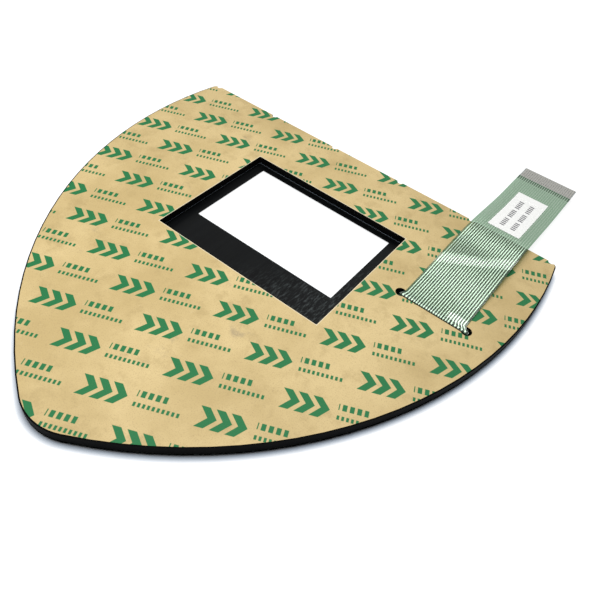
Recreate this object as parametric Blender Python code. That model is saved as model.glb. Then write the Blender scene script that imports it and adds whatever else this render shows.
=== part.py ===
"""A shield-shaped membrane keypad with a film tail, lying face down with its release liner up.

Metres, +Z up. +X runs along the straight edge, and +Y from the rounded tip to the tail's end.
In plan, y = 0 is the line where the shield is widest, until the last step centres the part on its box.
"""

import math

import bmesh
import bpy

# Shield outline: a straight edge, two arced sides and a rounded tip
SHIELD_HALF_WIDTH = 0.0940
SIDE_RADIUS = 0.1600
STRAIGHT_EDGE_Y = 0.0300
TIP_RADIUS = 0.0200
CORNER_RADIUS = 0.0028
NOTCH_COUNT = 6
NOTCH_END_MARGIN = 0.0050
NOTCH_RADIUS = 0.0014

# Display cut-out through the plate, and the clear window in the front film
CUTOUT_WIDTH = 0.0757
CUTOUT_LENGTH = 0.0598
CUTOUT_X = 0.0009
CUTOUT_Y = -0.0303
CUTOUT_CORNER = 0.0004
LEDGE_LEFT = 0.0043
LEDGE_RIGHT = 0.0053
LEDGE_NEAR = 0.0167
LEDGE_FAR = 0.0026
WINDOW_CORNER = 0.0003

# Thickness of each layer, from the front film to the release liner
FILM_T = 0.00020
PRINT_T = 0.00003
OVERLAY_ADHESIVE_T = 0.00005
RETAINER_T = 0.00010
SPACER_T = 0.00045
CIRCUIT_T = 0.00015
CIRCUIT_ADHESIVE_T = 0.00005
PLATE_T = 0.00300
REAR_ADHESIVE_T = 0.00005
LINER_T = 0.00011
LAYER_GAP = 0.00002

# How far a layer stands back from the plate's edges
INNER_INSET = 0.0004
LINER_SIDE_INSET = 0.0005
LINER_EDGE_INSET = 0.0002
HIDDEN_CUTOUT_MARGIN = 0.0004

# Keys: embossed pads in the front film over snap domes
KEY_ROWS = (5, 4, 3)
ROWS_TO_CUTOUT = 0.0160
ROWS_TO_TIP = 0.0265
ROWS_TO_SIDE = 0.0307
SIDE_KEY_TO_SIDE = 0.0220
SIDE_KEY_Y = -0.0500
PAD_SIDE_GAP = 0.0050
PAD_ROW_GAP = 0.0054
PAD_ROUNDING = 0.27
PAD_SLOPE = 0.0005
EMBOSS_HEIGHT = 0.0003
PAD_RELIEF = 0.0010
DOME_TO_PAD_EDGE = 0.0015
DOME_T = 0.00007
DOME_CLEARANCE = 0.0003
VENT_WIDTH = 0.0018

# Slot in the plate for the tail, with round relief holes at its ends
SLOT_OFF_CENTRE = 0.0006
SLOT_Y = -0.0267
SLOT_WIDTH = 0.0030
RELIEF_RADIUS = 0.0021
RELIEF_SPACING = 0.0269

# Tail: a tongue of the circuit film that climbs through the slot and lies over the liner
TRACE_COUNT = 24
TRACE_PITCH = 0.0010
TRACE_WIDTH = 0.00042
TRACE_HEIGHT = 0.00003
TRACE_SLOPE = 0.00006
TAIL_REACH = 0.1109
TAIL_BEND_RADIUS = 0.0006
TAIL_CLIMB_RUN = 0.0013
TAIL_LIFT = 0.00020
TAIL_CREST_AT = 0.0465
TAIL_CREST_HEIGHT = 0.0027
TAIL_FLAT_LENGTH = 0.0244
TAIL_END_DROP = 0.0006
TAIL_DRIFT = 0.0145
FAN_LEFT = 0.0010
FAN_LEFT_SHARE = 0.12
FAN_RIGHT = 0.0021
FAN_RIGHT_SHARE = 0.24
TONGUE_SLIT = 0.0010
ROOT_CLEARANCE = 0.00002
ROOT_OPENING_MARGIN = 0.0006

# What the tail carries
LABEL_WIDTH = 0.0140
LABEL_LENGTH = 0.0338
LABEL_TO_END = 0.0205
LABEL_T = 0.00008
STIFFENER_LENGTH = 0.0100
STIFFENER_T = 0.00015
BOND_GAP = 0.00003

# Steps in the curved stretches
SIDE_STEPS = 24
TIP_STEPS = 10
CORNER_STEPS = 4
PAD_STEPS = 2
HOLE_STEPS = 8
DOME_STEPS = 20
BEND_STEPS = 4
CREST_STEPS = 8

TAIL_WIDTH = (TRACE_COUNT + 1) * TRACE_PITCH
DOME_RISE = SPACER_T - DOME_T
SIDE_CENTRE_X = SHIELD_HALF_WIDTH - SIDE_RADIUS
TIP_CENTRE_Y = -math.sqrt((SIDE_RADIUS - TIP_RADIUS) ** 2 - SIDE_CENTRE_X**2)
TIP_REACH = TIP_RADIUS - TIP_CENTRE_Y


def half_width_at(y):
    """From the shield's axis to its side."""
    return SIDE_CENTRE_X + math.sqrt(SIDE_RADIUS**2 - y**2)


# The slot lies about midway between the cut-out and the shield's side
CUTOUT_RIGHT = CUTOUT_X + CUTOUT_WIDTH / 2
TAIL_X = (CUTOUT_RIGHT + half_width_at(SLOT_Y)) / 2 + SLOT_OFF_CENTRE

# The rows of keys fill the space between the cut-out and the tip
FIRST_ROW_Y = CUTOUT_Y - CUTOUT_LENGTH / 2 - ROWS_TO_CUTOUT
LAST_ROW_Y = ROWS_TO_TIP - TIP_REACH
KEY_ROW_PITCH = (FIRST_ROW_Y - LAST_ROW_Y) / (len(KEY_ROWS) - 1)
KEY_PITCH = 2 * (half_width_at(FIRST_ROW_Y) - ROWS_TO_SIDE) / (KEY_ROWS[0] - 1)
PAD_WIDTH = KEY_PITCH - PAD_SIDE_GAP
PAD_LENGTH = KEY_ROW_PITCH - PAD_ROW_GAP
PAD_CORNER = PAD_ROUNDING * min(PAD_WIDTH, PAD_LENGTH)
DOME_RADIUS = min(PAD_WIDTH, PAD_LENGTH) / 2 - DOME_TO_PAD_EDGE

LAYERS = (
    ("overlay_film", FILM_T),
    ("overlay_print", PRINT_T),
    ("overlay_adhesive", OVERLAY_ADHESIVE_T),
    ("dome_retainer", RETAINER_T),
    ("dome_spacer", SPACER_T),
    ("circuit_film", CIRCUIT_T),
    ("circuit_adhesive", CIRCUIT_ADHESIVE_T),
    ("backing_plate", PLATE_T),
    ("rear_adhesive", REAR_ADHESIVE_T),
    ("release_liner", LINER_T),
)

MATERIALS = {
    "clear_film": ((0.80, 0.82, 0.82), 0.25, 0.0, 0.35),
    "black_ink": ((0.016, 0.018, 0.020), 0.45, 0.0, 1.0),
    "adhesive": ((0.75, 0.74, 0.70), 0.50, 0.0, 1.0),
    "retainer": ((0.70, 0.72, 0.74), 0.40, 0.0, 1.0),
    "spacer": ((0.62, 0.66, 0.68), 0.45, 0.0, 1.0),
    "steel": ((0.60, 0.60, 0.58), 0.28, 1.0, 1.0),
    "circuit": ((0.27, 0.42, 0.31), 0.35, 0.0, 1.0),
    "plate": ((0.012, 0.012, 0.013), 0.40, 0.0, 1.0),
    "kraft": ((0.66, 0.50, 0.27), 0.70, 0.0, 1.0),
    "label": ((0.85, 0.85, 0.83), 0.60, 0.0, 1.0),
}


def clear_scene():
    for obj in list(bpy.data.objects):
        bpy.data.objects.remove(obj, do_unlink=True)


def layer_levels():
    """Bottom and top height of each layer. The embossed pads stand on z = 0."""
    levels = {}
    z = EMBOSS_HEIGHT
    for name, thickness in LAYERS:
        levels[name] = (z, z + thickness)
        z += thickness + LAYER_GAP
    return levels


def material(slot):
    """The slot's Principled material, made the first time it is asked for."""
    if slot in bpy.data.materials:
        return bpy.data.materials[slot]
    colour, roughness, metallic, alpha = MATERIALS[slot]
    made = bpy.data.materials.new(slot)
    made.use_nodes = True
    made.diffuse_color = (*colour, alpha)
    shader = made.node_tree.nodes["Principled BSDF"]
    shader.inputs["Base Color"].default_value = (*colour, 1.0)
    shader.inputs["Roughness"].default_value = roughness
    shader.inputs["Metallic"].default_value = metallic
    shader.inputs["Alpha"].default_value = alpha
    return made


def add_object(name, mesh, slot, root):
    obj = bpy.data.objects.new(name, mesh)
    bpy.context.scene.collection.objects.link(obj)
    obj.parent = root
    if not mesh.materials:
        mesh.materials.append(material(slot))
    return obj


def finish_mesh(bm, name):
    """Closes the bmesh into a mesh whose faces point out."""
    bmesh.ops.recalc_face_normals(bm, faces=bm.faces)
    mesh = bpy.data.meshes.new(name)
    bm.to_mesh(mesh)
    bm.free()
    return mesh


def without_repeats(points, least=1e-7):
    """The closed loop without points that fall on the one before."""
    kept = []
    for i, point in enumerate(points):
        if math.dist(point, points[i - 1]) > least:
            kept.append(point)
    return kept


def arc(centre, radius, start, end, steps):
    """Points along an arc, both ends included."""
    turns = (start + (end - start) * i / steps for i in range(steps + 1))
    return [(centre[0] + radius * math.cos(a), centre[1] + radius * math.sin(a)) for a in turns]


def shield_outline(side_inset, edge_inset):
    """The shield, anticlockwise from the left of its tip, drawn in from the plate's own outline."""
    side_radius = SIDE_RADIUS - side_inset
    tip_turn = math.atan2(TIP_CENTRE_Y, -SIDE_CENTRE_X)
    corner_radius = CORNER_RADIUS - side_inset
    corner_y = STRAIGHT_EDGE_Y - edge_inset - corner_radius
    corner_x = SIDE_CENTRE_X + math.sqrt((side_radius - corner_radius) ** 2 - corner_y**2)
    corner_turn = math.atan2(corner_y, corner_x - SIDE_CENTRE_X)
    tip = arc((0.0, TIP_CENTRE_Y), TIP_RADIUS - side_inset, -math.pi - tip_turn, tip_turn, TIP_STEPS)
    side = arc((SIDE_CENTRE_X, 0.0), side_radius, tip_turn, corner_turn, SIDE_STEPS)
    corner = arc((corner_x, corner_y), corner_radius, corner_turn, math.pi / 2, CORNER_STEPS)
    right = side + corner
    left = [(-x, y) for x, y in reversed(right)]
    return without_repeats(tip + right + left)


def rounded_rectangle(centre, width, length, radius, steps):
    """Anticlockwise from the lower right corner."""
    half_x = width / 2 - radius
    half_y = length / 2 - radius
    points = []
    for quarter, (sx, sy) in enumerate(((1, -1), (1, 1), (-1, 1), (-1, -1))):
        corner = (centre[0] + sx * half_x, centre[1] + sy * half_y)
        start = (quarter - 1) * math.pi / 2
        points += arc(corner, radius, start, start + math.pi / 2, steps)
    return without_repeats(points)


def bead_chain(centre, count, pitch, radius, channel):
    """A row of round holes joined by a straight channel, as one anticlockwise loop."""
    mouth = math.asin(channel / 2 / radius)
    first_x = centre[0] - pitch * (count - 1) / 2
    beads = [(first_x + pitch * i, centre[1]) for i in range(count)]
    lower = []
    upper = []
    for i, bead in enumerate(beads):
        left_mouth = mouth if i > 0 else 0.0
        right_mouth = mouth if i < count - 1 else 0.0
        lower += arc(bead, radius, -math.pi + left_mouth, -right_mouth, HOLE_STEPS)
        upper = arc(bead, radius, right_mouth, math.pi - left_mouth, HOLE_STEPS) + upper
    return without_repeats(lower + upper)


def display_cutout(margin=0.0):
    size = (CUTOUT_WIDTH + 2 * margin, CUTOUT_LENGTH + 2 * margin)
    return rounded_rectangle((CUTOUT_X, CUTOUT_Y), *size, CUTOUT_CORNER + margin, PAD_STEPS)


def display_window():
    """The clear window, which leaves a ledge of its own width on each side of the cut-out."""
    centre = (CUTOUT_X + (LEDGE_LEFT - LEDGE_RIGHT) / 2, CUTOUT_Y + (LEDGE_NEAR - LEDGE_FAR) / 2)
    width = CUTOUT_WIDTH - LEDGE_LEFT - LEDGE_RIGHT
    length = CUTOUT_LENGTH - LEDGE_NEAR - LEDGE_FAR
    return rounded_rectangle(centre, width, length, WINDOW_CORNER, PAD_STEPS)


def tail_slot():
    return bead_chain((TAIL_X, SLOT_Y), 2, RELIEF_SPACING, RELIEF_RADIUS, SLOT_WIDTH)


def key_rows():
    """Count and centre of each row of keys, a side key being a row of one."""
    rows = [(count, (0.0, FIRST_ROW_Y - KEY_ROW_PITCH * i)) for i, count in enumerate(KEY_ROWS)]
    side_key_x = half_width_at(SIDE_KEY_Y) - SIDE_KEY_TO_SIDE
    return rows + [(1, (-side_key_x, SIDE_KEY_Y)), (1, (side_key_x, SIDE_KEY_Y))]


def key_centres():
    centres = []
    for count, (x, y) in key_rows():
        first_x = x - KEY_PITCH * (count - 1) / 2
        centres += [(first_x + KEY_PITCH * i, y) for i in range(count)]
    return centres


def key_pad(centre, inset):
    size = (PAD_WIDTH - 2 * inset, PAD_LENGTH - 2 * inset)
    return rounded_rectangle(centre, *size, PAD_CORNER - inset, PAD_STEPS)


def loop_edges(bm, points, z):
    """A closed loop of new edges at one height."""
    verts = [bm.verts.new((x, y, z)) for x, y in points]
    return [bm.edges.new((verts[i - 1], verts[i])) for i in range(len(verts))]


def thicken(bm, thickness):
    """Copies every face up by the thickness and closes the rim, as a Solidify would."""
    made = bmesh.ops.extrude_face_region(bm, geom=bm.faces[:])
    moved = [item for item in made["geom"] if isinstance(item, bmesh.types.BMVert)]
    bmesh.ops.translate(bm, verts=moved, vec=(0.0, 0.0, thickness))


def sheet_mesh(name, outline, holes, levels):
    """A flat sheet with holes."""
    bottom, top = levels
    bm = bmesh.new()
    edges = []
    for loop in [outline, *holes]:
        edges += loop_edges(bm, loop, bottom)
    bmesh.ops.triangle_fill(bm, use_beauty=True, edges=edges)
    thicken(bm, top - bottom)
    return finish_mesh(bm, name)


def embossed_mesh(name, outline, holes, levels):
    """A flat sheet whose key areas are pressed out towards the front, at one thickness all over."""
    bottom, top = levels
    bm = bmesh.new()
    edges = []
    for loop in [outline, *holes]:
        edges += loop_edges(bm, loop, bottom)
    for centre in key_centres():
        rim = loop_edges(bm, key_pad(centre, 0.0), bottom)
        floor = loop_edges(bm, key_pad(centre, PAD_SLOPE), bottom - EMBOSS_HEIGHT)
        bmesh.ops.bridge_loops(bm, edges=rim + floor)
        bmesh.ops.contextual_create(bm, geom=floor)
        edges += rim
    bmesh.ops.triangle_fill(bm, use_beauty=True, edges=edges)
    thicken(bm, top - bottom)
    return finish_mesh(bm, name)


def dome_mesh(name, crown_z):
    """A thin spherical cap, its rim up against the circuit and its crown down towards the key."""
    cap_radius = (DOME_RADIUS**2 + DOME_RISE**2) / (2 * DOME_RISE)
    half_angle = math.asin(DOME_RADIUS / cap_radius)
    centre_z = crown_z + cap_radius
    bm = bmesh.new()
    profile = []
    for radius in (cap_radius, cap_radius - DOME_T):
        profile.append([(radius, half_angle * share) for share in (0.0, 0.5, 1.0)])
    rings = []
    for radius, angle in profile[0][1:] + profile[1][:0:-1]:
        ring = []
        for i in range(DOME_STEPS):
            turn = 2 * math.pi * i / DOME_STEPS
            out = radius * math.sin(angle)
            height = centre_z - radius * math.cos(angle)
            ring.append(bm.verts.new((out * math.cos(turn), out * math.sin(turn), height)))
        rings.append(ring)
    for first, second in zip(rings, rings[1:]):
        for i in range(DOME_STEPS):
            bm.faces.new((first[i - 1], first[i], second[i], second[i - 1]))
    for ring, radius in ((rings[0], cap_radius), (rings[-1], cap_radius - DOME_T)):
        crown = bm.verts.new((0.0, 0.0, centre_z - radius))
        for i in range(DOME_STEPS):
            bm.faces.new((ring[i - 1], ring[i], crown))
    mesh = finish_mesh(bm, name)
    mesh.shade_smooth()
    mesh.set_sharp_from_angle(angle=math.radians(40))
    return mesh


def smooth_step(t):
    t = min(max(t, 0.0), 1.0)
    return t * t * (3 - 2 * t)


class TailPath:
    """The tail's centre line in the (y, z) plane: out of the circuit, up the slot's near wall, over the liner."""

    def __init__(self, levels):
        film_bottom, film_top = levels["circuit_film"]
        self.root_z = (film_bottom + film_top) / 2
        self.rest_z = levels["release_liner"][1] + CIRCUIT_T / 2
        self.slot_far_y = SLOT_Y + SLOT_WIDTH / 2
        self.root_y = SLOT_Y - SLOT_WIDTH / 2 - self.lead_in(levels["backing_plate"][0])
        self.landing_y = self.root_y + TAIL_CLIMB_RUN
        self.end_y = SLOT_Y + TAIL_REACH

    def lead_in(self, plate_bottom):
        """How far before the slot the film can start to bend and still clear the plate's lower edge."""
        skin_radius = TAIL_BEND_RADIUS - CIRCUIT_T / 2 - TRACE_HEIGHT
        to_centre = self.root_z + TAIL_BEND_RADIUS - (plate_bottom - ROOT_CLEARANCE)
        return math.sqrt(skin_radius**2 - to_centre**2)

    def height(self, y):
        """Centre line's height over the slot and the liner, and past the straight edge."""
        crest_y = SLOT_Y + TAIL_CREST_AT
        flat_y = self.end_y - TAIL_FLAT_LENGTH
        rise = smooth_step((y - self.landing_y) / (crest_y - self.landing_y))
        fall = smooth_step((y - crest_y) / (flat_y - crest_y))
        lift = TAIL_LIFT + (TAIL_CREST_HEIGHT - TAIL_LIFT) * rise
        return self.rest_z + lift - (TAIL_CREST_HEIGHT + TAIL_END_DROP) * fall

    def drift(self, y):
        """The tail runs a little askew once it is past the slot."""
        return TAIL_DRIFT * max(0.0, y - self.slot_far_y)

    def across(self, across, y):
        """Where a line along the tail lies: its outer traces fan out on the way down into the slot."""
        spread = (self.slot_far_y - y) / (self.slot_far_y - self.landing_y)
        spread = min(max(spread, 0.0), 1.0)
        right = across / TAIL_WIDTH - (0.5 - FAN_RIGHT_SHARE)
        left = -across / TAIL_WIDTH - (0.5 - FAN_LEFT_SHARE)
        outward = FAN_RIGHT * max(right, 0.0) / FAN_RIGHT_SHARE - FAN_LEFT * max(left, 0.0) / FAN_LEFT_SHARE
        return across + outward * spread

    def label_span(self):
        far_y = self.end_y - LABEL_TO_END
        return far_y - LABEL_LENGTH, far_y

    def climb(self):
        """Points (y, z, slope angle) of the S-bend through the slot: arc, straight, arc."""
        radius = TAIL_BEND_RADIUS
        top_z = self.height(self.landing_y)
        rise = top_z - self.root_z
        between = math.hypot(TAIL_CLIMB_RUN, rise - 2 * radius)
        steepest = math.atan2(rise - 2 * radius, TAIL_CLIMB_RUN) + math.asin(2 * radius / between)
        angles = [steepest * i / BEND_STEPS for i in range(BEND_STEPS + 1)]
        lower = [(self.root_y + radius * math.sin(a), self.root_z + radius * (1 - math.cos(a)), a) for a in angles]
        upper = [(self.landing_y - radius * math.sin(a), top_z - radius * (1 - math.cos(a)), a) for a in angles]
        return lower + upper[::-1]

    def stations(self):
        """Every place along the free stretch where the tail, its label or its stiffener has a section."""
        flat_y = self.end_y - TAIL_FLAT_LENGTH
        span = flat_y - self.slot_far_y
        places = {self.slot_far_y + span * i / CREST_STEPS for i in range(CREST_STEPS + 1)}
        places |= {*self.label_span(), self.end_y - STIFFENER_LENGTH, self.end_y}
        return sorted(places)

    def free_points(self, start=-math.inf, end=math.inf):
        """Points (y, z, slope angle) along the free stretch between two places."""
        step = 1e-5
        points = []
        for y in self.stations():
            if start - step < y < end + step:
                slope = (self.height(y + step) - self.height(y - step)) / (2 * step)
                points.append((y, self.height(y), math.atan(slope)))
        return points


def section(path, point, outline):
    """A cross-section, given as (across, up) pairs, stood on the path at one point."""
    y, z, angle = point
    placed = []
    for across, up in outline:
        x = TAIL_X + path.drift(y) + path.across(across, y)
        placed.append((x, y - up * math.sin(angle), z + up * math.cos(angle)))
    return placed


def trace_profile(height):
    """The film's upper face across the tail, right to left, with a low ridge at each printed trace."""
    half = TAIL_WIDTH / 2
    top = CIRCUIT_T / 2
    points = [(half, top)]
    for i in reversed(range(TRACE_COUNT)):
        middle = -half + TRACE_PITCH * (i + 1)
        foot = TRACE_WIDTH / 2 + TRACE_SLOPE
        points += [(middle + foot, top), (middle + TRACE_WIDTH / 2, top + height)]
        points += [(middle - TRACE_WIDTH / 2, top + height), (middle - foot, top)]
    return points + [(-half, top)]


def circuit_outline(path, root_points):
    """The inner outline with a channel from the straight edge to the tongue's root."""
    outline = shield_outline(INNER_INSET, INNER_INSET)
    right_x = root_points[0] + TONGUE_SLIT
    left_x = root_points[-1] - TONGUE_SLIT
    edge_y = STRAIGHT_EDGE_Y - INNER_INSET
    channel = [(right_x, edge_y), (right_x, path.root_y)]
    channel += [(x, path.root_y) for x in root_points]
    channel += [(left_x, path.root_y), (left_x, edge_y)]
    last_before = max(i for i, (x, y) in enumerate(outline) if x > 0)
    return outline[: last_before + 1] + channel + outline[last_before + 1 :], last_before + 3


def circuit_mesh(name, levels, path):
    """The flat circuit sheet and its tongue as one film, the traces raised on the tongue."""
    bottom, top = levels[name]
    flat_profile = trace_profile(0.0)
    ribbed_profile = trace_profile(TRACE_HEIGHT)
    under = [(-TAIL_WIDTH / 2, -CIRCUIT_T / 2), (TAIL_WIDTH / 2, -CIRCUIT_T / 2)]
    root_top = [TAIL_X + path.across(across, path.root_y) for across, _ in flat_profile]
    top_loop, first = circuit_outline(path, root_top)
    bottom_loop, _ = circuit_outline(path, [root_top[0], root_top[-1]])
    after = first + len(root_top) - 1
    bm = bmesh.new()

    top_verts = [bm.verts.new((x, y, top)) for x, y in top_loop]
    bottom_verts = [bm.verts.new((x, y, bottom)) for x, y in bottom_loop]
    top_edges = [bm.edges.new((top_verts[i - 1], top_verts[i])) for i in range(len(top_verts))]
    bottom_edges = [bm.edges.new((bottom_verts[i - 1], bottom_verts[i])) for i in range(len(bottom_verts))]
    rim_top = top_verts[after:] + top_verts[: first + 1]
    rim_bottom = bottom_verts[first + 1 :] + bottom_verts[: first + 1]
    hole_top = loop_edges(bm, display_cutout(HIDDEN_CUTOUT_MARGIN), top)
    hole_bottom = loop_edges(bm, display_cutout(HIDDEN_CUTOUT_MARGIN), bottom)
    bmesh.ops.triangle_fill(bm, use_beauty=True, edges=top_edges + hole_top)
    bmesh.ops.triangle_fill(bm, use_beauty=True, edges=bottom_edges + hole_bottom)
    bmesh.ops.bridge_loops(bm, edges=hole_top + hole_bottom)
    for i in range(len(rim_top) - 1):
        bm.faces.new((rim_top[i], rim_top[i + 1], rim_bottom[i + 1], rim_bottom[i]))

    ring = top_verts[first : after + 1] + [bottom_verts[first + 1], bottom_verts[first]]
    for point in path.climb()[1:] + path.free_points():
        placed = section(path, point, ribbed_profile + under)
        following = [bm.verts.new(co) for co in placed]
        last_top = len(ribbed_profile) - 1
        for i in range(last_top):
            bm.faces.new((ring[i], ring[i + 1], following[i + 1], following[i]))
        for i, j in ((last_top, last_top + 1), (last_top + 1, last_top + 2), (last_top + 2, 0)):
            bm.faces.new((ring[i], ring[j], following[j], following[i]))
        ring = following
    bm.faces.new(ring)
    return finish_mesh(bm, name)


def ribbon_mesh(name, path, start, end, width, low, high):
    """A strip bonded to the tail's face, from one place to another along it."""
    outline = [(-width / 2, low), (width / 2, low), (width / 2, high), (-width / 2, high)]
    bm = bmesh.new()
    rings = []
    for point in path.free_points(start, end):
        placed = section(path, point, outline)
        rings.append([bm.verts.new(co) for co in placed])
    for first, second in zip(rings, rings[1:]):
        for i in range(len(outline)):
            bm.faces.new((first[i - 1], first[i], second[i], second[i - 1]))
    bm.faces.new(rings[0])
    bm.faces.new(rings[-1])
    return finish_mesh(bm, name)


def notch_cutter(levels, root):
    """Six upright rods on the straight edge, which bite a half-round notch each."""
    bottom = levels["backing_plate"][0] - LAYER_GAP / 2
    top = levels["release_liner"][1] + NOTCH_RADIUS
    bm = bmesh.new()
    end_x = SHIELD_HALF_WIDTH - NOTCH_END_MARGIN
    for i in range(NOTCH_COUNT):
        x = end_x * (2 * i / (NOTCH_COUNT - 1) - 1)
        made = bmesh.ops.create_cone(
            bm,
            cap_ends=True,
            segments=2 * HOLE_STEPS,
            radius1=NOTCH_RADIUS,
            radius2=NOTCH_RADIUS,
            depth=top - bottom,
        )
        bmesh.ops.translate(bm, verts=made["verts"], vec=(x, STRAIGHT_EDGE_Y, (top + bottom) / 2))
    cutter = add_object("edge_notch_cutter", finish_mesh(bm, "edge_notch_cutter"), "plate", root)
    cutter.hide_render = True
    cutter.display_type = "WIRE"
    return cutter


def cut_notches(obj, cutter):
    notches = obj.modifiers.new("edge_notches", "BOOLEAN")
    notches.operation = "DIFFERENCE"
    notches.object = cutter


def build_front(levels, root):
    """Front film, its print, and what lies between it and the circuit."""
    full = shield_outline(0.0, 0.0)
    inner = shield_outline(INNER_INSET, INNER_INSET)
    window = display_window()
    hidden_cutout = display_cutout(HIDDEN_CUTOUT_MARGIN)
    key_openings = [key_pad(centre, PAD_RELIEF) for centre in key_centres()]
    pocket_radius = DOME_RADIUS + DOME_CLEARANCE
    pockets = [bead_chain(centre, count, KEY_PITCH, pocket_radius, VENT_WIDTH) for count, centre in key_rows()]

    film = embossed_mesh("overlay_film", full, [], levels["overlay_film"])
    ink = embossed_mesh("overlay_print", full, [window], levels["overlay_print"])
    adhesive = sheet_mesh("overlay_adhesive", inner, [hidden_cutout, *key_openings], levels["overlay_adhesive"])
    retainer = sheet_mesh("dome_retainer", inner, [hidden_cutout], levels["dome_retainer"])
    spacer = sheet_mesh("dome_spacer", inner, [hidden_cutout, *pockets], levels["dome_spacer"])
    add_object("overlay_film", film, "clear_film", root)
    add_object("overlay_print", ink, "black_ink", root)
    add_object("overlay_adhesive", adhesive, "adhesive", root)
    add_object("dome_retainer", retainer, "retainer", root)
    add_object("dome_spacer", spacer, "spacer", root)


def build_domes(levels, root):
    mesh = dome_mesh("snap_dome", levels["dome_spacer"][0])
    for number, (x, y) in enumerate(key_centres(), start=1):
        dome = add_object(f"snap_dome_{number:02d}", mesh, "steel", root)
        dome.location = (x, y, 0.0)


def build_circuit(levels, path, root):
    """Circuit film with its tail, and what the tail carries."""
    add_object("circuit_film", circuit_mesh("circuit_film", levels, path), "circuit", root)
    film_face = CIRCUIT_T / 2
    label_low = film_face + TRACE_HEIGHT + BOND_GAP
    label = ribbon_mesh("tail_label", path, *path.label_span(), LABEL_WIDTH, label_low, label_low + LABEL_T)
    stiffener_high = -film_face - BOND_GAP
    stiffener_low = stiffener_high - STIFFENER_T
    stiffener_span = (path.end_y - STIFFENER_LENGTH, path.end_y)
    stiffener = ribbon_mesh("tail_stiffener", path, *stiffener_span, TAIL_WIDTH, stiffener_low, stiffener_high)
    add_object("tail_label", label, "label", root)
    add_object("tail_stiffener", stiffener, "retainer", root)


def build_rear(levels, path, root):
    """Backing plate and its adhesives, with the display cut-out, the tail slot and the edge notches."""
    cutter = notch_cutter(levels, root)
    plate_holes = [display_cutout(), tail_slot()]
    plate = sheet_mesh("backing_plate", shield_outline(0.0, 0.0), plate_holes, levels["backing_plate"])
    cut_notches(add_object("backing_plate", plate, "plate", root), cutter)
    for name, slot in (("rear_adhesive", "adhesive"), ("release_liner", "kraft")):
        outline = shield_outline(LINER_SIDE_INSET, LINER_EDGE_INSET)
        cut_notches(add_object(name, sheet_mesh(name, outline, plate_holes, levels[name]), slot, root), cutter)

    opening_near = path.root_y - ROOT_OPENING_MARGIN
    opening_far = path.slot_far_y + ROOT_OPENING_MARGIN
    opening_width = RELIEF_SPACING + 2 * RELIEF_RADIUS + 2 * ROOT_OPENING_MARGIN
    root_opening = rounded_rectangle(
        (TAIL_X, (opening_near + opening_far) / 2),
        opening_width,
        opening_far - opening_near,
        CUTOUT_CORNER,
        PAD_STEPS,
    )
    holes = [display_cutout(HIDDEN_CUTOUT_MARGIN), root_opening]
    inner = shield_outline(INNER_INSET, INNER_INSET)
    mesh = sheet_mesh("circuit_adhesive", inner, holes, levels["circuit_adhesive"])
    add_object("circuit_adhesive", mesh, "adhesive", root)


def main():
    clear_scene()
    levels = layer_levels()
    path = TailPath(levels)
    root = bpy.data.objects.new("keypad", None)
    bpy.context.scene.collection.objects.link(root)
    root.location.y = (TIP_REACH - path.end_y) / 2
    build_front(levels, root)
    build_domes(levels, root)
    build_circuit(levels, path, root)
    build_rear(levels, path, root)


main()
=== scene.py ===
import math

import bmesh
import bpy
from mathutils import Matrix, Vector


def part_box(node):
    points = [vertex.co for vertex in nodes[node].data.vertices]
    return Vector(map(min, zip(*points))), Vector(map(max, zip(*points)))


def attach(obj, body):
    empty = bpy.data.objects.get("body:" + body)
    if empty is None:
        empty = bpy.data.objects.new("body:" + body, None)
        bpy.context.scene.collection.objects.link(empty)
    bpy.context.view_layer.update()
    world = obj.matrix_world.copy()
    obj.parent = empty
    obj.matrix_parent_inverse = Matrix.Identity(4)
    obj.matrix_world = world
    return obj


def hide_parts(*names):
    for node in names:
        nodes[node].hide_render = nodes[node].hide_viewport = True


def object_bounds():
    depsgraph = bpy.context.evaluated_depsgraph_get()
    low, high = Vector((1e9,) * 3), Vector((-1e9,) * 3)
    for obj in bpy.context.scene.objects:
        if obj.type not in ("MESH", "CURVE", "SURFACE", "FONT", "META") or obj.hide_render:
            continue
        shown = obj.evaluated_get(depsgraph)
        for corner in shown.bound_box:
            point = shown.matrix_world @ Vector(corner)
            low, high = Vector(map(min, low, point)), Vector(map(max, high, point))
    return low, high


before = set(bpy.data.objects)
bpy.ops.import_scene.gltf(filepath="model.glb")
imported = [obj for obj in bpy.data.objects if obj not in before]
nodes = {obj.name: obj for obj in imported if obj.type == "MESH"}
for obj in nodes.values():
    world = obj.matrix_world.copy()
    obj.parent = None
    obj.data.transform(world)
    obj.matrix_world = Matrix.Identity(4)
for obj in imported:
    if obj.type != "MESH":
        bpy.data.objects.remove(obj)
cad_box = [list(corner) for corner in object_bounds()]

MM = 0.001

# The frame's own places, read from the solids
PLATE_LOW, PLATE_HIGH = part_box("backing_plate")
EDGE_Y = PLATE_HIGH.y
AXIS_Y = EDGE_Y - 30.0 * MM
LINER_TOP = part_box("release_liner")[1].z
FILM_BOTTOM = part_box("circuit_film")[0].z
TAIL_END_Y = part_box("circuit_film")[1].y

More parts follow.
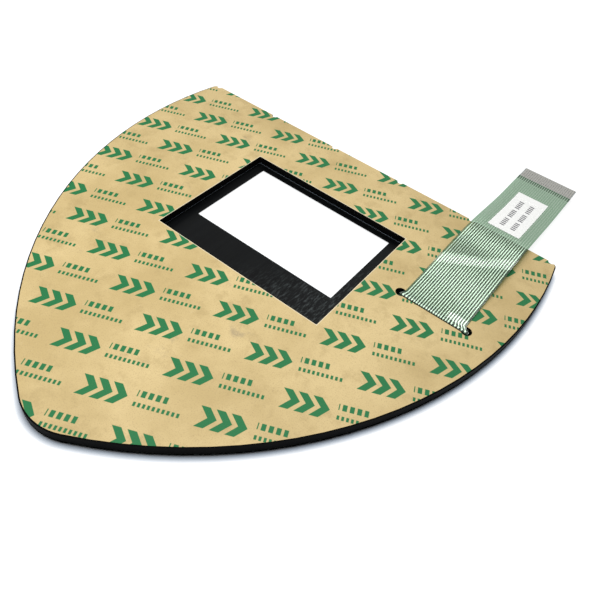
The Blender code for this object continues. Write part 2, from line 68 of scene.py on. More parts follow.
# Sizes of the shield, the slot, the tongue and the tail, as in the part's source
FILM_T = 0.15 * MM
INNER_INSET = 0.4 * MM
SHIELD_HALF_WIDTH = 94.0 * MM
SIDE_RADIUS = 160.0 * MM
TIP_RADIUS = 20.0 * MM
CORNER_RADIUS = 2.8 * MM
CUTOUT_SIZE = (76.5 * MM, 60.6 * MM)
CUTOUT_CENTRE = (0.9 * MM, AXIS_Y - 30.3 * MM)
CUTOUT_CORNER = 0.8 * MM
OPENING_HALF = (37.85 * MM, 29.9 * MM)
TAIL_X = 65.86 * MM
SLOT_Y = AXIS_Y - 26.7 * MM
SLOT_WIDTH = 3.0 * MM
TAIL_WIDTH = 25.0 * MM
BEND_RADIUS = 0.6 * MM
CLIMB_RUN = 1.3 * MM
ROOT_CLEARANCE = 0.02 * MM
RIDGE_HEIGHT = 0.03 * MM
TAIL_LIFT = 0.20 * MM
CREST_AT = 46.5 * MM
CREST_HEIGHT = 2.7 * MM
FLAT_LENGTH = 24.4 * MM
END_DROP = 0.6 * MM
DRIFT = 0.0145
TRACE_COUNT = 24
TRACE_PITCH = 1.0 * MM
FAN_LEFT = 1.0 * MM
FAN_LEFT_SHARE = 0.12
FAN_RIGHT = 2.1 * MM
FAN_RIGHT_SHARE = 0.24

# Sizes of the printed strips and the bare end, this scene's own
TRACE_WIDTH = 0.44 * MM
PAD_WIDTH = 0.66 * MM
TRACE_HEIGHT = 0.018 * MM
CONTACT_LENGTH = 7.7 * MM

ROOT_Z = FILM_BOTTOM + FILM_T / 2
SKIN_RADIUS = BEND_RADIUS - FILM_T / 2 - RIDGE_HEIGHT
TO_BEND_CENTRE = ROOT_Z + BEND_RADIUS - (PLATE_LOW.z - ROOT_CLEARANCE)
LEAD_IN = math.sqrt(SKIN_RADIUS**2 - TO_BEND_CENTRE**2)
FAR_WALL_Y = SLOT_Y + SLOT_WIDTH / 2
ROOT_Y = SLOT_Y - SLOT_WIDTH / 2 - LEAD_IN
LANDING_Y = ROOT_Y + CLIMB_RUN
REST_Z = LINER_TOP + FILM_T / 2
CREST_Y = SLOT_Y + CREST_AT
FLAT_Y = TAIL_END_Y - FLAT_LENGTH
BAND_Y = TAIL_END_Y - CONTACT_LENGTH


class Nodes:
    """One procedural material's node tree."""

    def __init__(self, name):
        self.material = bpy.data.materials.new(name)
        self.material.use_nodes = True
        self.tree = self.material.node_tree
        self.tree.nodes.clear()
        self.place = self.add("ShaderNodeTexCoord").outputs["Object"]
        split = self.add("ShaderNodeSeparateXYZ", {0: self.place})
        self.x, self.y, self.z = split.outputs

    def put(self, socket, value):
        if isinstance(value, bpy.types.NodeSocket):
            self.tree.links.new(value, socket)
        elif isinstance(value, tuple) and len(value) == 3 and len(socket.default_value) == 4:
            socket.default_value = (*value, 1.0)
        else:
            socket.default_value = value

    def add(self, kind, inputs=None, **settings):
        node = self.tree.nodes.new(kind)
        for name, value in settings.items():
            setattr(node, name, value)
        for key, value in (inputs or {}).items():
            self.put(node.inputs[key], value)
        return node

    def math(self, operation, *values, clamp=False):
        inputs = dict(enumerate(values))
        return self.add("ShaderNodeMath", inputs, operation=operation, use_clamp=clamp).outputs[0]

    def step(self, value, low, high, smooth=True):
        """0 below low and 1 above high, with low above high turning it round."""
        kind = "SMOOTHSTEP" if smooth else "LINEAR"
        inputs = {"Value": value, "From Min": low, "From Max": high}
        return self.add("ShaderNodeMapRange", inputs, interpolation_type=kind).outputs[0]

    def mix(self, factor, first, second):
        """The two colours mixed. A Mix node's colour sockets are its seventh and eighth."""
        return self.add("ShaderNodeMix", {0: factor, 6: first, 7: second}, data_type="RGBA").outputs[2]

    def stretched(self, scales, turn=0.0):
        inputs = {"Vector": self.place, "Scale": scales, "Rotation": (0.0, 0.0, turn)}
        return self.add("ShaderNodeMapping", inputs).outputs[0]

    def noise(self, scale, detail=3.0, roughness=0.55, vector=None):
        inputs = {"Vector": vector or self.place, "Scale": scale, "Detail": detail, "Roughness": roughness}
        return self.add("ShaderNodeTexNoise", inputs).outputs[0]

    def bump(self, height, distance, strength=1.0):
        inputs = {"Height": height, "Distance": distance, "Strength": strength}
        return self.add("ShaderNodeBump", inputs).outputs[0]

    def principled(self, **inputs):
        named = {key.replace("_", " ").title().replace("Ior", "IOR"): value for key, value in inputs.items()}
        return self.add("ShaderNodeBsdfPrincipled", named).outputs[0]

    def finish(self, shader):
        out = self.add("ShaderNodeOutputMaterial")
        self.put(out.inputs["Surface"], shader)
        return self.material


def periodic(g, value, period):
    """The value's place in its period, from 0 to the period."""
    return g.math("FLOORED_MODULO", value, period)


def within(g, value, low, high, soft):
    """1 between low and high, with soft edges."""
    rise = g.step(value, low - soft, low + soft)
    fall = g.step(value, high + soft, high - soft)
    return g.math("MULTIPLY", rise, fall)


def liner_print(g):
    """A generic green print: rows of bold chevrons, each with two lines of dashes beside it."""
    cell = 37.0 * MM
    row = 13.6 * MM
    row_shift = 0.41 * cell
    turn = math.radians(-24)
    soft = 0.10 * MM
    slope = 0.85
    chevron_pitch = 4.7 * MM
    chevron_half = 3.6 * MM
    first_chevron = 4.6 * MM
    chevrons_end = 18.6 * MM
    dashes_start = 19.6 * MM
    bold_line = (1.9 * MM, 1.15 * MM, 2.3 * MM, 1.55 * MM, 29.0 * MM)
    fine_line = (-1.9 * MM, 0.75 * MM, 1.5 * MM, 0.95 * MM, 34.0 * MM)
    along = g.math("ADD", g.math("MULTIPLY", g.x, math.cos(turn)), g.math("MULTIPLY", g.y, -math.sin(turn)))
    across = g.math("ADD", g.math("MULTIPLY", g.x, math.sin(turn)), g.math("MULTIPLY", g.y, math.cos(turn)))
    row_number = g.math("FLOOR", g.math("DIVIDE", across, row))
    shifted = g.math("ADD", along, g.math("MULTIPLY", row_number, row_shift))
    a = periodic(g, shifted, cell)
    b = g.math("SUBTRACT", periodic(g, across, row), row / 2)
    from_middle = g.math("ABSOLUTE", b)
    slant = g.math("ADD", a, g.math("MULTIPLY", from_middle, slope))
    marks = within(g, periodic(g, slant, chevron_pitch), 0.2 * MM, 3.1 * MM, soft)
    marks = g.math("MULTIPLY", marks, within(g, slant, first_chevron, chevrons_end, soft))
    marks = g.math("MULTIPLY", marks, g.step(from_middle, chevron_half + soft, chevron_half - soft))
    for middle, half, pitch, dash, end in (bold_line, fine_line):
        dashes = within(g, periodic(g, a, pitch), 0.1 * MM, dash, soft)
        band = within(g, b, middle - half, middle + half, soft)
        reach = within(g, a, dashes_start, end, soft)
        marks = g.math("MAXIMUM", marks, g.math("MULTIPLY", g.math("MULTIPLY", dashes, band), reach))
    return marks


def cut_edge(g):
    """1 along the rim of the display cut-out, where the paper is drawn paler."""
    far = None
    for value, middle, half in zip((g.x, g.y), CUTOUT_CENTRE, OPENING_HALF):
        past = g.math("SUBTRACT", g.math("ABSOLUTE", g.math("SUBTRACT", value, middle)), half)
        far = past if far is None else g.math("MAXIMUM", far, past)
    return g.step(far, 0.34 * MM, 0.16 * MM)


def kraft_material():
    g = Nodes("kraft_liner")
    cloudy = g.noise(24.0, 4.0, 0.65)
    mottle = g.noise(130.0, 4.0, 0.7)
    fibre = g.noise(900.0, 3.0, 0.6, g.stretched((1.0, 0.35, 1.0), 0.4))
    grain = g.noise(2600.0, 2.0)
    base = g.mix(g.step(cloudy, 0.32, 0.68), (0.500, 0.372, 0.164), (0.640, 0.492, 0.240))
    base = g.mix(g.math("MULTIPLY", g.step(mottle, 0.48, 0.72), 0.55), base, (0.410, 0.300, 0.128))
    base = g.mix(g.math("MULTIPLY", g.step(fibre, 0.62, 0.86), 0.5), base, (0.650, 0.525, 0.300))
    base = g.mix(g.math("MULTIPLY", g.step(grain, 0.50, 0.74), 0.5), base, (0.36, 0.25, 0.125))
    scuff = g.noise(52.0, 6.0, 0.75)
    base = g.mix(g.math("MULTIPLY", g.step(scuff, 0.60, 0.76), 0.60), base, (0.24, 0.19, 0.13))
    ink_wear = g.step(grain, 0.76, 0.60)
    ink = g.math("MULTIPLY", liner_print(g), g.math("MULTIPLY_ADD", ink_wear, 0.08, 0.91))
    colour = g.mix(ink, base, (0.003, 0.138, 0.040))
    colour = g.mix(g.math("MULTIPLY", cut_edge(g), 0.8), colour, (0.80, 0.70, 0.50))
    relief = g.math("ADD", fibre, g.math("MULTIPLY", grain, 0.5))
    shader = g.principled(
        base_color=colour,
        roughness=g.math("MULTIPLY_ADD", cloudy, 0.10, 0.50),
        specular_ior_level=0.22,
        normal=g.bump(relief, 0.00002, 0.5),
    )
    return g.finish(shader)


def plate_material():
    g = Nodes("cut_black_plastic")
    saw = g.noise(1400.0, 2.0, 0.5, g.stretched((1.0, 1.0, 0.04)))
    blotch = g.noise(90.0, 3.0)
    colour = g.mix(g.math("MULTIPLY", saw, 0.5), (0.0015, 0.0015, 0.0015), (0.006, 0.006, 0.0065))
    rough = g.math("MULTIPLY_ADD", blotch, 0.20, 0.34)
    shader = g.principled(
        base_color=colour,
        roughness=rough,
        specular_ior_level=0.012,
        normal=g.bump(saw, 0.00003, 0.4),
    )
    return g.finish(shader)


def ink_material():
    """The satin, streaky black coat on the rear of the front film, charcoal in the embossed key areas."""
    g = Nodes("black_screen_ink")
    streak = g.noise(420.0, 3.0, 0.6, g.stretched((1.0, 0.06, 1.0), 0.5))
    speck = g.noise(2600.0, 2.0)
    colour = g.mix(streak, (0.0008, 0.0010, 0.0012), (0.0035, 0.0042, 0.0045))
    # Painted sheen: fine streaks drawn lighter towards the lower right, a reflection painted into the ink's
    # colour.
    painted_sheen_side = g.step(g.math("SUBTRACT", g.x, g.y), 15.0 * MM, 62.0 * MM)
    painted_sheen_streaks = g.noise(1500.0, 3.0, 0.7, g.stretched((1.0, 0.22, 1.0), -0.9))
    sheen = g.math("MULTIPLY", g.step(painted_sheen_streaks, 0.46, 0.72), painted_sheen_side)
    colour = g.mix(g.math("MULTIPLY", sheen, 0.75), colour, (0.075, 0.088, 0.088))
    colour = g.mix(g.math("MULTIPLY", g.step(speck, 0.76, 0.82), 0.12), colour, (0.12, 0.13, 0.14))
    colour = g.mix(g.step(g.z, 0.42 * MM, 0.34 * MM), colour, (0.085, 0.093, 0.105))
    shader = g.principled(
        base_color=colour,
        roughness=g.math("MULTIPLY_ADD", streak, 0.22, 0.24),
        specular_ior_level=0.07,
        normal=g.bump(streak, 0.00003, 0.5),
    )
    return g.finish(shader)


def see_through(g, tint, haze, haze_colour, roughness, normal):
    """Clear film: it lets light through, tinted, with a little haze in it and gloss on its outer face."""
    clear = g.add("ShaderNodeBsdfTransparent", {"Color": tint}).outputs[0]
    milky = g.principled(base_color=haze_colour, roughness=0.6, specular_ior_level=0.0)
    body = g.add("ShaderNodeMixShader", {0: haze, 1: clear, 2: milky}).outputs[0]
    gloss = g.add("ShaderNodeBsdfAnisotropic", {"Roughness": roughness, "Normal": normal}).outputs[0]
    fresnel = g.add("ShaderNodeFresnel", {"IOR": 1.45, "Normal": normal}).outputs[0]
    faces_out = g.math("SUBTRACT", 1.0, g.add("ShaderNodeNewGeometry").outputs["Backfacing"])
    share = g.math("MULTIPLY", fresnel, faces_out)
    return g.add("ShaderNodeMixShader", {0: share, 1: body, 2: gloss}).outputs[0]


def clear_film_material():
    g = Nodes("clear_polyester")
    ripple = g.noise(60.0, 2.0)
    relief = g.bump(ripple, 0.0001, 0.1)
    return g.finish(see_through(g, (0.985, 0.99, 0.99), 0.01, (0.8, 0.8, 0.8), 0.12, relief))


def crease(g):
    """The tail's normal with its shallow fold, the swell past it and the buckle beside the slot."""
    fold_skew = 0.60
    fold_start = 26.5 * MM
    fold_end = 34.5 * MM
    fold_height = 0.46 * MM
    lean_end = 31.0 * MM
    lean = 0.020
    swell_start = 34.0 * MM
    swell_end = 62.0 * MM
    swell_height = 2.9 * MM
    slack_depth = 0.10 * MM
    buckle_start = -0.7 * MM
    buckle_end = 2.4 * MM
    buckle_soft = 0.7 * MM
    buckle_edge = 4.0 * MM
    buckle_full = 7.0 * MM
    buckle_tilt = -0.21

    x = g.math("SUBTRACT", g.x, TAIL_X)
    y = g.math("SUBTRACT", g.y, FAR_WALL_Y)
    askew = g.math("SUBTRACT", y, g.math("MULTIPLY", x, fold_skew))
    before = g.math("MINIMUM", g.math("SUBTRACT", askew, lean_end), 0.0)
    fold = g.step(askew, fold_start, fold_end)
    swell = g.step(y, swell_start, swell_end)
    height = g.math("MULTIPLY_ADD", fold, fold_height, g.math("MULTIPLY", before, lean))
    height = g.math("MULTIPLY_ADD", swell, swell_height, height)
    relief = g.bump(g.math("MULTIPLY_ADD", g.noise(70.0, 1.0), slack_depth, height), 1.0)
    beside_slot = within(g, y, buckle_start, buckle_end, buckle_soft)
    buckle = g.math("MULTIPLY", beside_slot, g.step(x, buckle_edge, buckle_full))
    tilt = g.add("ShaderNodeCombineXYZ", {1: g.math("MULTIPLY", buckle, buckle_tilt)}).outputs[0]
    tilted = g.add("ShaderNodeVectorMath", {0: relief, 1: tilt}, operation="ADD").outputs[0]
    return g.add("ShaderNodeVectorMath", {0: tilted}, operation="NORMALIZE").outputs[0]


def tail_film_material():
    """Polyester film under a green translucent coat, which stops short of the bare contact end."""
    g = Nodes("green_coated_film")
    bare = g.step(g.y, BAND_Y - 0.02 * MM, BAND_Y + 0.02 * MM)
    edge_line = within(g, g.y, BAND_Y - 0.75 * MM, BAND_Y, 0.06 * MM)
    tint = g.mix(bare, (0.53, 0.655, 0.545), (0.86, 0.87, 0.86))
    tint = g.mix(g.math("MULTIPLY", edge_line, 0.75), tint, (0.22, 0.42, 0.28))
    haze_colour = g.mix(bare, (0.14, 0.23, 0.15), (0.48, 0.48, 0.46))
    return g.finish(see_through(g, tint, 0.14, haze_colour, 0.15, crease(g)))


def trace_material():
    """Silver ink under the green coat, and grey where it is bare at the contact end."""
    g = Nodes("silver_ink")
    grain = g.noise(2400.0, 2.0)
    bare = g.step(g.y, BAND_Y - 0.02 * MM, BAND_Y + 0.02 * MM)
    edge_line = within(g, g.y, BAND_Y - 0.75 * MM, BAND_Y, 0.06 * MM)
    coated = g.mix(g.step(grain, 0.4, 0.7), (0.27, 0.365, 0.275), (0.33, 0.43, 0.335))
    coated = g.mix(g.math("MULTIPLY", edge_line, 0.6), coated, (0.12, 0.22, 0.14))
    colour = g.mix(bare, coated, (0.36, 0.35, 0.32))
    rough = g.math("MULTIPLY_ADD", grain, 0.12, 0.26)
    return g.finish(g.principled(base_color=colour, metallic=1.0, roughness=rough, normal=crease(g)))


def label_material(box):
    """White paper with two rows of plain grey ticks in groups of five."""
    low, high = box
    margin = 3.4 * MM
    tick_pitch = 1.45 * MM
    group_pitch = 8.7 * MM
    group_length = 7.2 * MM
    soft = 0.10 * MM
    groups = 3

    g = Nodes("label_paper")
    middle_x = (low.x + high.x) / 2
    fibre = g.noise(1600.0, 3.0)
    along = g.math("SUBTRACT", g.y, low.y + margin)
    ticks = within(g, periodic(g, along, tick_pitch), 0.25 * MM, 1.10 * MM, soft)
    in_group = g.step(periodic(g, along, group_pitch), group_length + soft / 2, group_length - soft / 2)
    ticks = g.math("MULTIPLY", ticks, in_group)
    rows = None
    for offset in (-2.5 * MM, 2.3 * MM):
        shifted = g.math("SUBTRACT", g.x, middle_x + offset)
        band = g.step(g.math("ABSOLUTE", shifted), 1.15 * MM, 0.95 * MM)
        rows = band if rows is None else g.math("MAXIMUM", rows, band)
    reach = within(g, along, 0.0, groups * group_pitch, soft)
    ink = g.math("MULTIPLY", g.math("MULTIPLY", g.math("MULTIPLY", ticks, rows), reach), 0.9)
    paper = g.mix(fibre, (0.88, 0.88, 0.85), (0.93, 0.93, 0.91))
    colour = g.mix(ink, paper, (0.06, 0.06, 0.07))
    return g.finish(g.principled(base_color=colour, roughness=0.55, normal=g.bump(fibre, 0.00002, 0.4)))


def plain_material(name, dark, pale, scale, roughness, stretch=(1.0, 1.0, 1.0), metallic=0.0):
    """A material with a fine variation of colour and relief, for the layers inside."""
    g = Nodes(name)
    grain = g.noise(scale, 3.0, 0.55, g.stretched(stretch))
    shader = g.principled(
        base_color=g.mix(grain, dark, pale),
        metallic=metallic,
        roughness=g.math("MULTIPLY_ADD", grain, 0.15, roughness),
        normal=g.bump(grain, 0.00002, 0.3),
    )
    return g.finish(shader)


def paint(name, material):
    node = nodes[name]
    node.data.materials.clear()
    node.data.materials.append(material)


def smooth_step(t):
    t = min(max(t, 0.0), 1.0)
    return t * t * (3 - 2 * t)


def tail_height(y):
    """Height of the film's middle over the slot and the liner, and past the straight edge."""
    rise = smooth_step((y - LANDING_Y) / (CREST_Y - LANDING_Y))
    fall = smooth_step((y - CREST_Y) / (FLAT_Y - CREST_Y))
    return REST_Z + TAIL_LIFT + (CREST_HEIGHT - TAIL_LIFT) * rise - (CREST_HEIGHT + END_DROP) * fall


def tail_drift(y):
    return DRIFT * max(0.0, y - FAR_WALL_Y)


def fanned(across, y):
    """Where a line along the tail lies: its outer traces fan out on the way down into the slot."""
    spread = min(max((FAR_WALL_Y - y) / (FAR_WALL_Y - LANDING_Y), 0.0), 1.0)
    right = across / TAIL_WIDTH - (0.5 - FAN_RIGHT_SHARE)
    left = -across / TAIL_WIDTH - (0.5 - FAN_LEFT_SHARE)
    outward = FAN_RIGHT * max(right, 0.0) / FAN_RIGHT_SHARE - FAN_LEFT * max(left, 0.0) / FAN_LEFT_SHARE
    return across + outward * spread


def tail_points():
    """Points (y, z, slope angle) of the tongue and tail, from the root to the contact end."""
    bend_steps = 10
    slot_steps = 4
    free_steps = 72
    top_z = tail_height(LANDING_Y)
    lift = top_z - ROOT_Z - 2 * BEND_RADIUS
    steepest = math.atan2(lift, CLIMB_RUN) + math.asin(2 * BEND_RADIUS / math.hypot(CLIMB_RUN, lift))
    angles = [steepest * i / bend_steps for i in range(bend_steps + 1)]
    radius = BEND_RADIUS
    lower = [(ROOT_Y + radius * math.sin(a), ROOT_Z + radius * (1 - math.cos(a)), a) for a in angles]
    upper = [(LANDING_Y - radius * math.sin(a), top_z - radius * (1 - math.cos(a)), a) for a in angles]
    points = lower + upper[::-1]
    places = {LANDING_Y + (FAR_WALL_Y - LANDING_Y) * i / slot_steps for i in range(1, slot_steps + 1)}
    places |= {FAR_WALL_Y + (TAIL_END_Y - FAR_WALL_Y) * i / free_steps for i in range(1, free_steps + 1)}
    places = sorted(places | {BAND_Y - 0.3 * MM, BAND_Y})
    nudge = 0.01 * MM
    for y in places:
        slope = (tail_height(y + nudge) - tail_height(y - nudge)) / (2 * nudge)
        points.append((y, tail_height(y), math.atan(slope)))
    return points


def place(point, across, up):
    """A place on the tail's section at one point of its path."""
    y, z, angle = point
    x = TAIL_X + tail_drift(y) + fanned(across, y)
    return Vector((x, y - up * math.sin(angle), z + up * math.cos(angle)))


def arc(centre, radius, start, end, steps):
    turns = (start + (end - start) * i / steps for i in range(steps + 1))
    return [(centre[0] + radius * math.cos(a), centre[1] + radius * math.sin(a)) for a in turns]


def without_repeats(points, least=1e-7):
    return [point for i, point in enumerate(points) if math.dist(point, points[i - 1]) > least]


def inner_shield():
    """The circuit sheet's outline, anticlockwise from the left of its tip."""
    side_x = SHIELD_HALF_WIDTH - SIDE_RADIUS
    side_radius = SIDE_RADIUS - INNER_INSET
    tip_y = -math.sqrt((SIDE_RADIUS - TIP_RADIUS) ** 2 - side_x**2)
    tip_turn = math.atan2(tip_y, -side_x)
    corner_radius = CORNER_RADIUS - INNER_INSET
    corner_y = EDGE_Y - AXIS_Y - INNER_INSET - corner_radius
    corner_x = side_x + math.sqrt((side_radius - corner_radius) ** 2 - corner_y**2)
    corner_turn = math.atan2(corner_y, corner_x - side_x)
    tip = arc((0.0, tip_y), TIP_RADIUS - INNER_INSET, -math.pi - tip_turn, tip_turn, 16)
    right = arc((side_x, 0.0), side_radius, tip_turn, corner_turn, 48)
    right += arc((corner_x, corner_y), corner_radius, corner_turn, math.pi / 2, 6)
    left = [(-x, y) for x, y in reversed(right)]
    return [(x, y + AXIS_Y) for x, y in without_repeats(tip + right + left)]


def cutout_loop():
    half_x = CUTOUT_SIZE[0] / 2 - CUTOUT_CORNER
    half_y = CUTOUT_SIZE[1] / 2 - CUTOUT_CORNER
    points = []
    for quarter, (sx, sy) in enumerate(((1, -1), (1, 1), (-1, 1), (-1, -1))):
        corner = (CUTOUT_CENTRE[0] + sx * half_x, CUTOUT_CENTRE[1] + sy * half_y)
        start = (quarter - 1) * math.pi / 2
        points += arc(corner, CUTOUT_CORNER, start, start + math.pi / 2, 3)
    return points


def loop_edges(bm, verts):
    return [bm.edges.new((verts[i - 1], verts[i])) for i in range(len(verts))]


def link_object(name, bm, material, smooth_angle):
    bmesh.ops.recalc_face_normals(bm, faces=bm.faces)
    mesh = bpy.data.meshes.new(name)
    bm.to_mesh(mesh)
    bm.free()
    mesh.materials.append(material)
    obj = bpy.data.objects.new(name, mesh)
    bpy.context.scene.collection.objects.link(obj)
    mesh.shade_smooth()
    mesh.set_sharp_from_angle(angle=smooth_angle)
    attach(obj, "root")
    return obj


def film_object(points, material):
    """Circuit sheet, tongue and tail as one film."""
    bm = bmesh.new()
    half = TAIL_WIDTH / 2
    slit = 1.0 * MM
    outline = inner_shield()
    right_x = TAIL_X + fanned(half, ROOT_Y)
    left_x = TAIL_X + fanned(-half, ROOT_Y)
    channel = [
        (right_x + slit, EDGE_Y - INNER_INSET),
        (right_x + slit, ROOT_Y),
        (right_x, ROOT_Y),
        (left_x, ROOT_Y),
        (left_x - slit, ROOT_Y),
        (left_x - slit, EDGE_Y - INNER_INSET),
    ]
    last_right = max(i for i, (x, y) in enumerate(outline) if x > 0)
    loop = outline[: last_right + 1] + channel + outline[last_right + 1 :]
    root = last_right + 3
    rings = []
    for z in (FILM_BOTTOM, FILM_BOTTOM + FILM_T):
        outer = [bm.verts.new((x, y, z)) for x, y in loop]
        hole = [bm.verts.new((x, y, z)) for x, y in cutout_loop()]
        hole_edges = loop_edges(bm, hole)
        bmesh.ops.triangle_fill(bm, use_beauty=True, edges=loop_edges(bm, outer) + hole_edges)
        rings.append((outer, hole))
    (bottom, bottom_hole), (top, top_hole) = rings
    for i in range(len(loop)):
        if i != root + 1:
            bm.faces.new((bottom[i - 1], bottom[i], top[i], top[i - 1]))
    for i in range(len(bottom_hole)):
        bm.faces.new((bottom_hole[i - 1], bottom_hole[i], top_hole[i], top_hole[i - 1]))
    ring = [top[root], top[root + 1], bottom[root + 1], bottom[root]]
    corners = ((half, FILM_T / 2), (-half, FILM_T / 2), (-half, -FILM_T / 2), (half, -FILM_T / 2))
    for point in points[1:]:
        following = [bm.verts.new(place(point, *corner)) for corner in corners]
        for i in range(4):
            bm.faces.new((ring[i - 1], ring[i], following[i], following[i - 1]))
        ring = following
    bm.faces.new(ring)
    film = link_object("circuit_film_and_tail", bm, material, math.radians(40))
    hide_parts("circuit_film")
    return film


def traces_object(points, material):
    """The printed silver traces, as low strips with rounded shoulders on the film's upper face."""
    bm = bmesh.new()
    base = FILM_T / 2
    shoulder = 0.07 * MM
    fan_length = 7.0 * MM
    fan_steps = 6
    for number in range(TRACE_COUNT):
        middle = -TAIL_WIDTH / 2 + TRACE_PITCH * (number + 1)
        spread = (number - (TRACE_COUNT - 1) / 2) / TRACE_COUNT
        rings = []
        for i in range(fan_steps, 0, -1):
            back = fan_length * i / fan_steps
            shift = 0.9 * spread * back * back / fan_length
            start = (ROOT_Y - back, ROOT_Z, 0.0)
            rings.append((start, middle + shift, TRACE_WIDTH))
        for point in points:
            bare = point[0] > BAND_Y - 0.1 * MM
            rings.append((point, middle, PAD_WIDTH if bare else TRACE_WIDTH))
        previous = None
        for point, across, width in rings:
            half = width / 2
            outline = (
                (-half, base),
                (half, base),
                (half - shoulder * 0.3, base + 0.7 * TRACE_HEIGHT),
                (half - shoulder, base + TRACE_HEIGHT),
                (-half + shoulder, base + TRACE_HEIGHT),
                (-half + shoulder * 0.3, base + 0.7 * TRACE_HEIGHT),
            )
            ring = [bm.verts.new(place(point, across + a, up)) for a, up in outline]
            if previous is None:
                bm.faces.new(ring)
            else:
                for i in range(len(ring)):
                    bm.faces.new((previous[i - 1], previous[i], ring[i], ring[i - 1]))
            previous = ring
        bm.faces.new(previous)
    traces = link_object("silver_traces", bm, material, math.radians(50))
    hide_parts("circuit_film")
    return traces


def add_camera():
    data = bpy.data.cameras.new("camera")
    data.sensor_width = 36.0
    data.lens = 35.66
    data.clip_start = 0.01
    data.clip_end = 20.0
    camera = bpy.data.objects.new("camera", data)
    camera.location = (99.28 * MM, -144.93 * MM, 159.5 * MM)
    camera.rotation_euler = [math.radians(a) for a in (41.588, -6.122, 37.776)]
    bpy.context.scene.collection.objects.link(camera)
    bpy.context.scene.camera = camera


def add_softbox(name, elevation, heading, distance, size, power, aim):
    """A rectangular area lamp that faces its aim, its heading counted from +Y towards +X."""
    data = bpy.data.lights.new(name, "AREA")
    data.shape = "RECTANGLE"
    data.size, data.size_y = size
    data.energy = power
    lamp = bpy.data.objects.new(name, data)
    level = math.radians(elevation)
    turn = math.radians(heading)
    way = Vector((math.sin(turn) * math.cos(level), math.cos(turn) * math.cos(level), math.sin(level)))
    lamp.location = Vector(aim) + way * distance
    lamp.rotation_euler = way.to_track_quat("Z", "Y").to_euler()
    lamp.visible_camera = False
    bpy.context.scene.collection.objects.link(lamp)


def add_world():
    """Even pale light, and a white background for what looks past the floor."""
    world = bpy.data.worlds.new("studio")
    bpy.context.scene.world = world
    world.use_nodes = True
    tree = world.node_tree
    tree.nodes.clear()
    path = tree.nodes.new("ShaderNodeLightPath")
    sees = tree.nodes.new("ShaderNodeMath")
    sees.operation = "MAXIMUM"
    tree.links.new(path.outputs["Is Camera Ray"], sees.inputs[0])
    tree.links.new(path.outputs["Is Transmission Ray"], sees.inputs[1])
    also = tree.nodes.new("ShaderNodeMath")
    also.operation = "MAXIMUM"
    tree.links.new(sees.outputs[0], also.inputs[0])
    tree.links.new(path.outputs["Is Glossy Ray"], also.inputs[1])
    light = tree.nodes.new("ShaderNodeBackground")
    light.inputs["Color"].default_value = (0.94, 0.97, 1.0, 1.0)
    light.inputs["Strength"].default_value = 0.22
    white = tree.nodes.new("ShaderNodeBackground")
    white.inputs["Color"].default_value = (1.0, 1.0, 1.0, 1.0)
    white.inputs["Strength"].default_value = 1.0
    mix = tree.nodes.new("ShaderNodeMixShader")
    tree.links.new(also.outputs[0], mix.inputs[0])
    tree.links.new(light.outputs[0], mix.inputs[1])
    tree.links.new(white.outputs[0], mix.inputs[2])
    out = tree.nodes.new("ShaderNodeOutputWorld")
    tree.links.new(mix.outputs[0], out.inputs["Surface"])


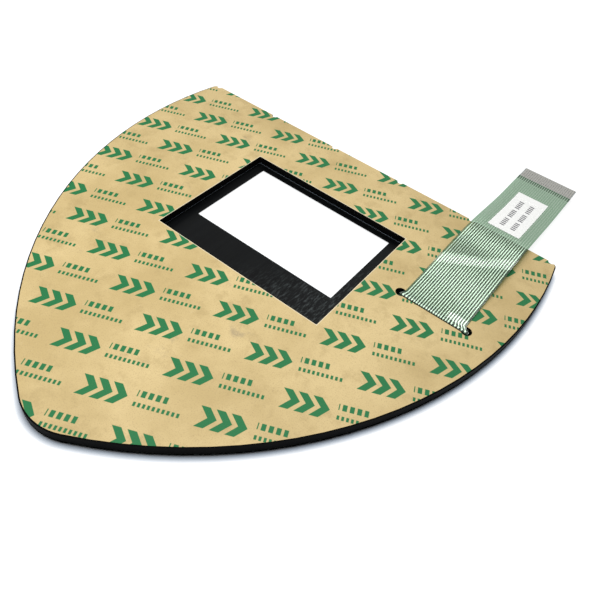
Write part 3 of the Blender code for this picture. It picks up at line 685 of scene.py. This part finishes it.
def add_floor():
    """White floor that takes the object's shadow.

    Its pale glow fades and turns blue close beside the object, a painted contact shadow, but not below the
    display window.
    """
    fade = 3.6 * MM
    under_window = 50.0 * MM
    g = Nodes("white_floor")
    path = g.add("ShaderNodeLightPath")
    seen = g.math("MAXIMUM", path.outputs["Is Camera Ray"], path.outputs["Is Glossy Ray"])
    seen = g.math("MAXIMUM", seen, path.outputs["Is Transmission Ray"])
    # Painted shadow: ambient occlusion dims the glow and tints it blue within a few millimetres of the
    # object.
    open_sky = g.add("ShaderNodeAmbientOcclusion", {"Distance": fade}, samples=16).outputs["AO"]
    away = g.math("SQRT", g.math("ADD", g.math("MULTIPLY", g.x, g.x), g.math("MULTIPLY", g.y, g.y)))
    below_window = g.step(away, under_window + 2.0 * MM, under_window)
    clear = g.math("MAXIMUM", g.step(open_sky, 0.50, 0.90, smooth=False), below_window)
    colour = g.mix(clear, (0.52, 0.74, 1.0), (1.0, 1.0, 1.0))
    strength = g.math("MULTIPLY", g.math("MULTIPLY", seen, 0.86), clear)
    diffuse = g.add("ShaderNodeBsdfDiffuse", {"Color": (0.30, 0.30, 0.31)}).outputs[0]
    glow = g.add("ShaderNodeEmission", {"Color": colour, "Strength": strength})
    material = g.finish(g.add("ShaderNodeAddShader", {0: diffuse, 1: glow.outputs[0]}).outputs[0])
    bm = bmesh.new()
    bmesh.ops.create_grid(bm, x_segments=1, y_segments=1, size=4.0)
    mesh = bpy.data.meshes.new("floor")
    bm.to_mesh(mesh)
    bm.free()
    mesh.materials.append(material)
    floor = bpy.data.objects.new("floor", mesh)
    floor.location.z = cad_box[0][2] - 0.02 * MM
    bpy.context.scene.collection.objects.link(floor)


def paint_nodes():
    adhesive = plain_material("transfer_adhesive", (0.07, 0.065, 0.05), (0.12, 0.11, 0.085), 500.0, 0.30)
    polyester = plain_material("milky_polyester", (0.60, 0.62, 0.62), (0.74, 0.76, 0.76), 300.0, 0.30)
    retainer = plain_material("black_retainer_film", (0.006, 0.006, 0.007), (0.018, 0.018, 0.02), 300.0, 0.35)
    # The spacer's pale blue-grey is a painted reflection: it lightens the relief hole beside the slot, where
    # the spacer shows.
    spacer = plain_material("spacer_sheet_painted_reflection", (0.14, 0.175, 0.22), (0.20, 0.24, 0.29), 400.0, 0.22)
    rolled = (1.0, 0.05, 1.0)
    steel = plain_material("rolled_steel", (0.50, 0.50, 0.49), (0.66, 0.66, 0.65), 1500.0, 0.24, rolled, 1.0)
    paint("backing_plate", plate_material())
    paint("release_liner", kraft_material())
    paint("overlay_print", ink_material())
    paint("overlay_film", clear_film_material())
    paint("tail_label", label_material(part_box("tail_label")))
    for name in ("rear_adhesive", "circuit_adhesive", "overlay_adhesive"):
        paint(name, adhesive)
    paint("tail_stiffener", polyester)
    paint("dome_retainer", retainer)
    paint("dome_spacer", spacer)
    for name in nodes:
        if name.startswith("snap_dome"):
            paint(name, steel)


add_camera()
add_world()
add_floor()
add_softbox("key_softbox", 67.0, -10.0, 0.80, (0.30, 0.38), 2.5, (0.05, 0.0, 0.0))
add_softbox("near_softbox", 72.0, -150.0, 0.26, (0.22, 0.22), 0.62, (0.0, -0.015, 0.0))
paint_nodes()
path_points = tail_points()
film_object(path_points, tail_film_material())
traces_object(path_points, trace_material())

bpy.context.scene.view_settings.view_transform = "Standard"
